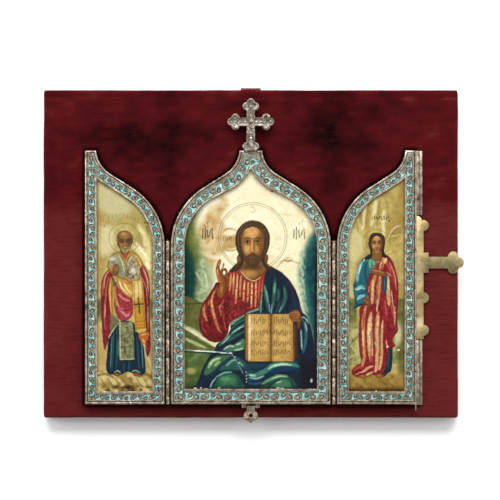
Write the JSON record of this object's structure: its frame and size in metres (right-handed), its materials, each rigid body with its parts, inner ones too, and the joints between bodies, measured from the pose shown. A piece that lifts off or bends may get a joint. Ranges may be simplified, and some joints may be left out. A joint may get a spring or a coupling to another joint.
{
  "type": "travelling triptych icon",
  "caption": "Hinged triptych icon with ogee-headed frames, enamel borders and painted pearl panels, lying open on a velvet board; its wings shut over the centre and a hasp closes them.",
  "frame": {"origin": "centre of the velvet board's underside", "axes": "+X to the right of the opened triptych, +Y from the hasp towards the finial cross, +Z out of the pictures"},
  "size_m": [0.1684, 0.1344, 0.0128],
  "materials": {
    "velvet": "worn dark red velvet",
    "ribbon": "crimson ribbon",
    "silver": "tarnished silver",
    "gilt": "pale worn gilding",
    "enamel": "turquoise cloisonne enamel",
    "painted_pearl": "oil painting on mother-of-pearl"
  },
  "bodies": {
    "board_and_centre": {"velvet_board": "velvet", "ribbon_tab": "ribbon", "centre_frame": "silver", "centre_enamel_border": "enamel", "centre_pearl_panel": "painted_pearl", "finial_cross": "silver", "left_hinge_centre_leaf": "silver", "left_hinge_pin": "silver", "right_hinge_centre_leaf": "silver", "right_hinge_pin": "silver", "hasp_pin": "silver"},
    "left_wing": {"left_wing_frame": "silver", "left_enamel_border": "enamel", "left_pearl_panel": "painted_pearl", "left_hinge_wing_leaf": "silver"},
    "right_wing": {"right_wing_frame": "silver", "right_enamel_border": "enamel", "right_pearl_panel": "painted_pearl", "right_hinge_wing_leaf": "silver", "upper_closing_strip": "silver", "lower_closing_strip": "silver", "applied_cross": "gilt"},
    "hasp": {"hasp": "silver"}
  },
  "joints": [
    {"name": "left_wing_hinge", "type": "hinge", "parent": "board_and_centre", "child": "left_wing", "pos_m": [-0.03317, 0, 0.01215], "axis": [0, 1, 0], "range_deg": [0, 180]},
    {"name": "right_wing_hinge", "type": "hinge", "parent": "board_and_centre", "child": "right_wing", "pos_m": [0.03317, 0, 0.01215], "axis": [0, -1, 0], "range_deg": [0, 180]},
    {"name": "hasp_hinge", "type": "hinge", "parent": "board_and_centre", "child": "hasp", "pos_m": [0, -0.0611, 0.0101], "axis": [-1, 0, 0], "range_deg": [0, 90]}
  ]
}
